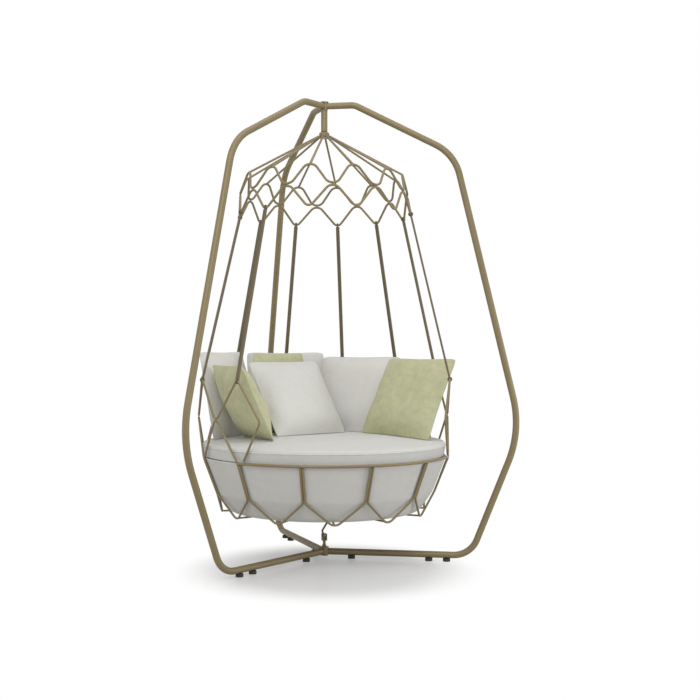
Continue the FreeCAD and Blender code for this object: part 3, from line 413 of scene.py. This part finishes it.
def lathe(name, outlines, finish):
    """Closed round forms of the basket: outlines of (radius, height) points turned about the hub axis.

    An outline runs from the axis to the axis, or comes back to its first point.
    """
    around = np.linspace(0, 2 * math.pi, LATHE_TURNS, endpoint=False)
    points, faces = [], []
    for outline in outlines:
        closed = np.allclose(outline[0], outline[-1])
        rings = []
        for radius, height in outline[:-1] if closed else outline:
            if radius < ON_AXIS:
                rings.append([len(points)] * LATHE_TURNS)
                points.append((0, 0, height))
                continue
            rings.append(list(range(len(points), len(points) + LATHE_TURNS)))
            points.extend((radius * math.cos(a), radius * math.sin(a), height) for a in around)
        if closed:
            rings.append(rings[0])
        for lower, upper in zip(rings, rings[1:]):
            for index in range(LATHE_TURNS):
                after = (index + 1) % LATHE_TURNS
                corners = [lower[index], lower[after], upper[after], upper[index]]
                faces.append([c for place, c in enumerate(corners) if c not in corners[:place]])
    mesh = bpy.data.meshes.new(name)
    mesh.from_pydata(points, [], faces)
    mesh.polygons.foreach_set("use_smooth", [True] * len(mesh.polygons))
    piece = bpy.data.objects.new(name, mesh)
    piece.location = hub_axis
    bpy.context.scene.collection.objects.link(piece)
    mesh.materials.append(finish)
    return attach(piece, "basket")


tub_low, tub_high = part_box("seat_tub")
tub_r = (tub_high.x - tub_low.x) / 2
foam_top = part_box("seat_foam")[1].z
FOAM_R = 0.57
WELL_R = 0.085
WELL_TOP = 0.39
TUB_FOOT_R = 0.5
HEEL_R = 0.5685
HEEL_Z = 0.3613
LIP_DROP = 0.004
LIP_IN = 0.005
RIM_WIDTH = 0.026
RIM_FALL = 0.012
tub_profile = [
    (0, WELL_TOP, 0),
    (WELL_R, WELL_TOP, 0.004),
    (WELL_R, tub_low.z, 0.01),
    (TUB_FOOT_R, tub_low.z, 0.06),
    (HEEL_R, HEEL_Z, 0.1),
    (tub_r, tub_high.z - LIP_DROP, 0.002),
    (tub_r - LIP_IN, tub_high.z, 0.002),
    (tub_r - RIM_WIDTH, tub_high.z - RIM_FALL, 0.008),
    (FOAM_R, foam_top, 0.004),
    (0, foam_top, 0),
]
TUB_YARN = (0.66, 0.655, 0.635)
# The gap colour is painted shade between the threads.
TUB_GAP_SHADE = (0.49, 0.485, 0.465)
PALE_UNEVENNESS = 0.03
tub_weave = woven("tub_weave", TUB_YARN, TUB_GAP_SHADE, PALE_UNEVENNESS, wrapped=True)
tub = lathe("tub_cover", [evenly(rounded(tub_profile))], tub_weave)
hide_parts("seat_tub", "seat_foam")

# Seat cushion: a round crowned foam cushion in the same weave, dropped into the tub so that its edge
# stands over the rim. A boxing strip tucks in under the edge and meets the top panel in a piped seam.
seat_low, seat_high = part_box("seat_cushion")
seat_r = (seat_high.x - seat_low.x) / 2
REST_GAP = 0.0005
SEAT_FOOT_R = 0.562
SEAT_STEP_R = 0.600
TUCK = 0.009
SEAM_RISE = 0.054
EDGE_IN = 0.004
EDGE_RISE = 0.016
CROWN_R = 0.32
CROWN_LIFT = 0.001
PIPING_R = 0.0025
PIPING_POINTS = 13
foot_z = seat_low.z + REST_GAP
rest_z = tub_high.z + REST_GAP
seam_z = tub_high.z + SEAM_RISE
seat_profile = [
    (0, foot_z, 0),
    (SEAT_FOOT_R, foot_z, 0.01),
    (SEAT_STEP_R, rest_z, 0.01),
    (seat_r - TUCK, rest_z, 0.004),
    (seat_r, seam_z, 0.01),
    (seat_r - EDGE_IN, seam_z + EDGE_RISE, 0.014),
    (CROWN_R, seat_high.z + CROWN_LIFT, 0.6),
    (0, seat_high.z, 0),
]
seat_outline = evenly(rounded(seat_profile))


def piping(outline, height):
    """A sewn-in cord round an outline where its side passes a height."""
    side = [(low, high) for low, high in zip(outline, outline[1:]) if low[1] <= height < high[1]]
    low, high = max(side, key=lambda pair: pair[0][0])
    radius = low[0] + (high[0] - low[0]) * (height - low[1]) / (high[1] - low[1])
    turn = np.linspace(0, 2 * math.pi, PIPING_POINTS)
    return np.stack([radius + PIPING_R * np.cos(turn), height + PIPING_R * np.sin(turn)], 1)


SEAT_YARN = (0.67, 0.67, 0.66)
# The gap colour is painted shade between the threads.
SEAT_GAP_SHADE = (0.50, 0.50, 0.485)
seat_weave = woven("seat_weave", SEAT_YARN, SEAT_GAP_SHADE, PALE_UNEVENNESS)
seat = lathe("seat_cushion_cover", [seat_outline, piping(seat_outline, seam_z)], seat_weave)
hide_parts("seat_cushion")

# Pillows: two square panels of the same weave sewn edge to edge and stuffed with fibre, so the cloth
# puckers along the seam. They stand loose on the seat, where their lower edges follow its crown, and lean
# back on the wires and on each other.
PANEL_STEPS = 40
PANEL_MARKS = np.linspace(-1, 1, PANEL_STEPS + 1)
PANEL_PART = 0.014
PANEL_RIPPLE = 0.002
STUFFING_FRAMES = 24
SIDE_BOW = 0.10
SIDE_DRAW = 0.008
CORNER_DRAW = 0.012
SEAM_WAVE = 0.15
SEAM_MARK = 0.999
SEAM_CREASE = 0.7
WRINKLE_EASE = 24
PLUMP = 0.026
GATHER_DEPTH = 0.0010
GATHER_REACH = 0.09
SHORT_GATHERS = 31
LONG_GATHERS = 17
CORNER_POWER = 8
GATHER_END_POWER = 8
SET_BACK_POWER = 4
SET_DOWN_POWER = 6
SOLID_EDGE = 0.006
SOLID_POWER = 2.2
SEAT_CLEARANCE = 0.001


def sewn_panels(name, edge, shift):
    """Two flat panels joined along their borders; returns the piece and each point's mark.

    A mark holds s across and t up the panel, from -1 to 1, and the panel's side.
    """
    points, faces, marks, numbers = [], [], [], {}
    for side in (1, -1):
        for row, t in enumerate(PANEL_MARKS):
            for column, s in enumerate(PANEL_MARKS):
                border = row in (0, PANEL_STEPS) or column in (0, PANEL_STEPS)
                if border and side == -1:
                    numbers[side, row, column] = numbers[1, row, column]
                    continue
                bow_x, bow_y = 1 + SIDE_BOW * (1 - t * t), 1 + SIDE_BOW * (1 - s * s)
                lift = side * (PANEL_PART * (1 - s * s) * (1 - t * t))
                if not border:
                    waves = PANEL_RIPPLE * math.sin(5 * s + 3 * t + shift)
                    lift += waves * math.sin(4 * t - 2 * s + 2 * shift)
                numbers[side, row, column] = len(points)
                points.append((edge / 2 * s * bow_x, edge / 2 * t * bow_y, lift))
                marks.append((s, t, side))
        for row in range(PANEL_STEPS):
            for column in range(PANEL_STEPS):
                loop = [numbers[side, row, column], numbers[side, row, column + 1],
                        numbers[side, row + 1, column + 1], numbers[side, row + 1, column]]
                faces.append(loop if side == 1 else loop[::-1])
    mesh = bpy.data.meshes.new(name)
    mesh.from_pydata(points, [], faces)
    piece = bpy.data.objects.new(name, mesh)
    bpy.context.scene.collection.objects.link(piece)
    return piece, np.array(marks)


def stuffed(piece):
    """Blow the sewn panels up as a filling does, and return the settled points."""
    cloth = piece.modifiers.new("stuffing", "CLOTH")
    settings = cloth.settings
    settings.quality = 6
    settings.mass = 0.2
    settings.tension_stiffness = 25
    settings.compression_stiffness = 25
    settings.shear_stiffness = 12
    settings.bending_stiffness = 0.3
    settings.use_pressure = True
    settings.uniform_pressure_force = 4.0
    settings.effector_weights.gravity = 0
    cloth.point_cache.frame_start = 1
    cloth.point_cache.frame_end = STUFFING_FRAMES
    scene = bpy.context.scene
    for step in range(1, STUFFING_FRAMES + 1):
        scene.frame_set(step)
    shape = piece.evaluated_get(bpy.context.evaluated_depsgraph_get())
    settled = np.array([vertex.co for vertex in shape.data.vertices])
    piece.modifiers.remove(cloth)
    scene.frame_set(1)
    return settled


def eased(points, piece):
    """Even out the short wrinkles of the blown panels and keep the long folds."""
    ends = np.array([line.vertices for line in piece.data.edges])
    count = np.bincount(ends.ravel(), minlength=len(points))[:, None]
    for _ in range(WRINKLE_EASE):
        total = np.zeros_like(points)
        np.add.at(total, ends[:, 0], points[ends[:, 1]])
        np.add.at(total, ends[:, 1], points[ends[:, 0]])
        points = (points + total / count) / 2
    return points


def key(mark):
    """A mark rounded for use as a key."""
    return round(mark, 6)


def along_seam(values, marks, chosen):
    """The values at the chosen points of the seam, by their marks along it."""
    return {key(marks[i]): values[i] for i in np.flatnonzero(chosen)}


def trued(points, marks, edge):
    """Move the panels so that the seam keeps the square outline of the cut panels and little of its wave."""
    s, t = marks[:, 0], marks[:, 1]
    corner = CORNER_DRAW * np.abs(s * t) ** CORNER_POWER
    outline = np.stack([s * (edge / 2 - SIDE_DRAW * (1 - t * t) - corner),
                        t * (edge / 2 - SIDE_DRAW * (1 - s * s) - corner), SEAM_WAVE * points[:, 2]], 1)
    off = outline - points
    top = along_seam(off, s, t > SEAM_MARK)
    foot = along_seam(off, s, t < -SEAM_MARK)
    right = along_seam(off, t, s > SEAM_MARK)
    left = along_seam(off, t, s < -SEAM_MARK)
    moved = points.copy()
    for i, (a, b) in enumerate(zip(s, t)):
        across, up = (1 + a) / 2, (1 + b) / 2
        rows = (1 - up) * foot[key(a)] + up * top[key(a)]
        columns = (1 - across) * left[key(b)] + across * right[key(b)]
        ends = ((1 - across) * (1 - up) * left[-1.0] + across * (1 - up) * right[-1.0]
                + (1 - across) * up * left[1.0] + across * up * right[1.0])
        moved[i] += rows + columns - ends
    return moved


def puckered(points, marks, shift):
    """Short gathers in the cloth beside the seam."""
    s, t = marks[:, 0], marks[:, 1]
    for beside, along in ((s, t), (t, s)):
        near = np.exp(-((1 - np.abs(beside)) / GATHER_REACH))
        inside = np.abs(beside) < SEAM_MARK
        short = np.sin(SHORT_GATHERS * along + 5 * shift)
        gathers = short * np.sin(LONG_GATHERS * along + 3 * shift + beside)
        ends = 1 - along ** GATHER_END_POWER
        points[:, 2] += marks[:, 2] * GATHER_DEPTH * near * inside * gathers * ends
    return points


def solid_half(marks, thickness):
    """Half thickness of the pillow's solid at each mark."""
    crown = SOLID_EDGE + (thickness - SOLID_EDGE) * (1 - np.abs(marks[:, 0]) ** SOLID_POWER)
    return crown / 2 * (1 - marks[:, 1] ** 2)


def plumped(shape, marks, thickness, room, seam_back, shift):
    """Give the blown panels their thickness, within the room that the pillow's neighbours leave."""
    front, back = [thickness / 2 + min(swell, PLUMP) for swell in room]
    shape[:, 2] *= np.where(shape[:, 2] > 0, front / shape[:, 2].max(), -back / shape[:, 2].min())
    shape[:, 2] -= seam_back * np.maximum(-marks[:, 0], 0) ** SET_BACK_POWER
    shape = puckered(shape, marks, shift)
    half = solid_half(marks, thickness)
    shape[:, 2] = np.clip(shape[:, 2], -half - room[1], half + room[0])
    return shape


def seat_height(radius):
    """Height of the seat cushion's upper side at distances from the hub axis."""
    upper = seat_outline[np.argmax(seat_outline[:, 0]):][::-1]
    return np.interp(radius, upper[:, 0], upper[:, 1])


def set_down(shape, marks, place):
    """Draw the lower edge down to the seat, and lift out what would dip into it."""
    turn = np.array(place.to_3x3())
    middle = np.array(place.translation)
    standing = shape @ turn.T + middle
    radius = np.hypot(standing[:, 0] - hub_axis.x, standing[:, 1] - hub_axis.y)
    gap = standing[:, 2] - seat_height(radius) - SEAT_CLEARANCE
    foot = along_seam(gap, marks[:, 0], marks[:, 1] < -SEAM_MARK)
    settle = np.array([foot[key(s)] for s in marks[:, 0]]) * ((1 - marks[:, 1]) / 2) ** SET_DOWN_POWER
    standing[:, 2] -= np.maximum(settle, 0)
    standing[:, 2] = np.maximum(standing[:, 2], seat_height(radius) + SEAT_CLEARANCE)
    return (standing - middle) @ turn


def pillow(name, node, cover, edge, thickness, bearing, lean, room, shift, seam_back=0.0):
    """One pillow in its node's place.

    The cover is its material and a slot name, which is not used. The bearing is the way its back is turned,
    counted from the sofa's front, and the lean is how far it tips back, both in degrees. The room is how far
    its front and its back may swell past the solid. The shift moves its ripples and gathers, so that no two
    pillows are alike.
    seam_back is how far the seam of one side lies behind the middle.
    """
    finish, slot = cover
    piece, marks = sewn_panels(name, edge, shift)
    shape = stuffed(piece)
    shape -= (shape.max(0) + shape.min(0)) / 2
    shape = trued(eased(shape, piece), marks, edge)
    shape = plumped(shape, marks, thickness, room, seam_back, shift)
    low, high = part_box(node)
    facing = Matrix.Rotation(math.radians(bearing + 180), 4, "Z")
    leaning = Matrix.Rotation(math.radians(90 - lean), 4, "X")
    place = Matrix.Translation((low + high) / 2) @ (facing @ leaning)
    shape = set_down(shape, marks, place)
    mesh = piece.data
    mesh.vertices.foreach_set("co", shape.astype(np.float32).ravel())
    mesh.polygons.foreach_set("use_smooth", [True] * len(mesh.polygons))
    mesh.materials.append(finish)
    seam = set(np.flatnonzero(np.abs(marks[:, :2]).max(1) > SEAM_MARK))
    creases = mesh.attributes.new("crease_edge", "FLOAT", "EDGE")
    sewn = [set(line.vertices) <= seam for line in mesh.edges]
    creases.data.foreach_set("value", [SEAM_CREASE if on_seam else 0.0 for on_seam in sewn])
    round_off = piece.modifiers.new("round_off", "SUBSURF")
    round_off.levels = round_off.render_levels = 1
    piece.matrix_world = place
    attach(piece, "basket")
    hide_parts(node)


LARGE = 0.48
SMALL = 0.43
FULL = 0.12
PRESSED = 0.0686
FREE = 0.03
TIGHT = 0.003
SEAM_SET_BACK = 0.020
WHITE_YARN = (0.73, 0.725, 0.70)
# The gap colour is painted shade between the threads.
WHITE_GAP_SHADE = (0.56, 0.55, 0.52)
GREEN_YARN = (0.56, 0.565, 0.36)
# The gap colour is painted shade between the threads.
GREEN_GAP_SHADE = (0.40, 0.405, 0.24)
GREEN_UNEVENNESS = 0.12
white = (woven("pillow_white", WHITE_YARN, WHITE_GAP_SHADE, PALE_UNEVENNESS), "white_fabric")
green = (woven("pillow_green", GREEN_YARN, GREEN_GAP_SHADE, GREEN_UNEVENNESS), "green_fabric")
pillow("pillow_white_left", "white_pillow_left", white, LARGE, FULL,
       bearing=-135, lean=11, room=(TIGHT, 0.0), shift=0.3)
pillow("pillow_white_back", "white_pillow_back", white, LARGE, PRESSED,
       bearing=180, lean=11, room=(TIGHT, TIGHT), shift=1.1)
pillow("pillow_white_right", "white_pillow_right", white, LARGE, PRESSED,
       bearing=140, lean=26, room=(FREE, TIGHT), shift=1.9)
pillow("pillow_white_front", "white_pillow_front", white, LARGE, FULL,
       bearing=-162, lean=35, room=(FREE, TIGHT), shift=2.7)
pillow("pillow_green_left", "green_pillow_left", green, SMALL, FULL,
       bearing=-82, lean=26, room=(FREE, FREE), shift=3.5, seam_back=SEAM_SET_BACK)
pillow("pillow_green_back", "green_pillow_back", green, SMALL, PRESSED,
       bearing=-150, lean=11, room=(TIGHT, TIGHT), shift=4.3)
pillow("pillow_green_right", "green_pillow_right", green, LARGE, FULL,
       bearing=116, lean=31, room=(FREE, TIGHT), shift=5.1)

# Studio: a pale floor that fades into a white backdrop, with soft light from above, both fronts and the left.
# A grey patch of floor in front of the stand is painted shadow, and real shadows fall on it as well. The
# camera stands where the photograph was taken from, to the left of the front and at chest height.
WHITE = (1, 1, 1, 1)
# Grey tone of the floor patch, which stands in for the stand's shadow as painted shadow; the lamps' real
# shadows fall on it too.
FLOOR_AND_SHADOW_TONE = (0.58, 0.58, 0.575, 1)
FLOOR_ROUGHNESS = 0.35
FLOOR_SPECULAR = 0.3
FLOOR_REACH = 30
FLOOR_DROP = 0.0005
SHADOW_PATCH_MIDDLE = (-0.09, -0.48, 0)
SHADOW_PATCH_SPAN = (0.80, 0.80, 1)
SHADOW_PATCH_TURN = math.radians(-20.44)
FADE_FROM = 0.55
LEAST_FADE = 0.28


def seen_rays(tree):
    """1 for rays that show a surface, directly, in a reflection or through glass, and 0 for its light."""
    path = tree.nodes.new("ShaderNodeLightPath")
    mirrored = math_node(tree, "MAXIMUM", path.outputs["Is Glossy Ray"], path.outputs["Is Transmission Ray"])
    return math_node(tree, "MAXIMUM", path.outputs["Is Camera Ray"], mirrored)


def pale_floor():
    made, tree, shader, place = material("pale_floor")
    shader.inputs["Base Color"].default_value = FLOOR_AND_SHADOW_TONE
    shader.inputs["Roughness"].default_value = FLOOR_ROUGHNESS
    shader.inputs["Specular IOR Level"].default_value = FLOOR_SPECULAR
    backdrop = tree.nodes.new("ShaderNodeEmission")
    backdrop.inputs["Color"].default_value = WHITE
    # Painted shadow: inside this patch in front of the stand the floor keeps its grey tone, and outside it
    # turns into white backdrop.
    shadow_patch = tree.nodes.new("ShaderNodeMapping")
    shadow_patch.vector_type = "TEXTURE"
    shadow_patch.inputs["Location"].default_value = SHADOW_PATCH_MIDDLE
    shadow_patch.inputs["Rotation"].default_value = (0, 0, SHADOW_PATCH_TURN)
    shadow_patch.inputs["Scale"].default_value = SHADOW_PATCH_SPAN
    tree.links.new(place, shadow_patch.inputs["Vector"])
    away = tree.nodes.new("ShaderNodeVectorMath")
    away.operation = "LENGTH"
    tree.links.new(shadow_patch.outputs[0], away.inputs[0])
    # Even in the patch's middle a share of white glow is mixed in, which paints light over its real shadows.
    fade = tree.nodes.new("ShaderNodeMapRange")
    fade.interpolation_type = "SMOOTHSTEP"
    fade.inputs["From Min"].default_value = FADE_FROM
    fade.inputs["To Min"].default_value = LEAST_FADE
    tree.links.new(away.outputs["Value"], fade.inputs["Value"])
    share = math_node(tree, "MULTIPLY", fade.outputs["Result"], seen_rays(tree))
    blend = tree.nodes.new("ShaderNodeMixShader")
    tree.links.new(share, blend.inputs["Fac"])
    tree.links.new(shader.outputs[0], blend.inputs[1])
    tree.links.new(backdrop.outputs[0], blend.inputs[2])
    tree.links.new(blend.outputs[0], tree.nodes["Material Output"].inputs["Surface"])
    return made


floor_mesh = bpy.data.meshes.new("floor")
floor_corners = [(x * FLOOR_REACH, y * FLOOR_REACH, 0) for x, y in ((-1, -1), (1, -1), (1, 1), (-1, 1))]
floor_mesh.from_pydata(floor_corners, [], [(0, 1, 2, 3)])
floor_mesh.materials.append(pale_floor())
floor = bpy.data.objects.new("floor", floor_mesh)
floor.location.z = -FLOOR_DROP
bpy.context.scene.collection.objects.link(floor)

AMBIENT = 0.55
AMBIENT_TINT = (1, 0.965, 0.90, 1)
world = bpy.data.worlds.new("studio")
bpy.context.scene.world = world
world.use_nodes = True
world_tree = world.node_tree
sky = world_tree.nodes["Background"]
seen = seen_rays(world_tree)
level = math_node(world_tree, "ADD", math_node(world_tree, "MULTIPLY", seen, 1 - AMBIENT), AMBIENT)
world_tree.links.new(mixed(world_tree, seen, AMBIENT_TINT, WHITE), sky.inputs["Color"])
world_tree.links.new(level, sky.inputs["Strength"])

LAMP_TINT = (0.96, 0.98, 1.0)


def softbox(name, place, target, size, power):
    lamp = bpy.data.lights.new(name, "AREA")
    lamp.shape = "DISK"
    lamp.size = size
    lamp.energy = power
    lamp.color = LAMP_TINT
    holder = bpy.data.objects.new(name, lamp)
    holder.location = place
    holder.rotation_euler = (Vector(target) - Vector(place)).to_track_quat("-Z", "Y").to_euler()
    bpy.context.scene.collection.objects.link(holder)


softbox("overhead", place=(0.4, -1.2, 8.0), target=(0, 0, 0.6), size=7.0, power=186)
softbox("front_left", place=(-2.4, -4.2, 4.0), target=(0, 0, 0.8), size=2.4, power=85)
softbox("front_right", place=(3.8, -3.2, 1.2), target=(0, 0, 0.7), size=2.0, power=55)
softbox("left", place=(-4.0, -0.8, 0.9), target=(0, 0, 0.6), size=1.6, power=10)

CAMERA_PLACE = (-2.0385, -5.6468, 1.1012)
CAMERA_AIM = (0.3493, 0.9370, -0.00186)
lens = bpy.data.cameras.new("view")
lens.sensor_width = 36
lens.lens = 56.93
lens.shift_x = 0.0368
lens.shift_y = 0.0008
camera = bpy.data.objects.new("view", lens)
camera.location = CAMERA_PLACE
camera.rotation_euler = Vector(CAMERA_AIM).to_track_quat("-Z", "Y").to_euler()
bpy.context.scene.collection.objects.link(camera)
bpy.context.scene.camera = camera
bpy.context.scene.view_settings.view_transform = "Standard"
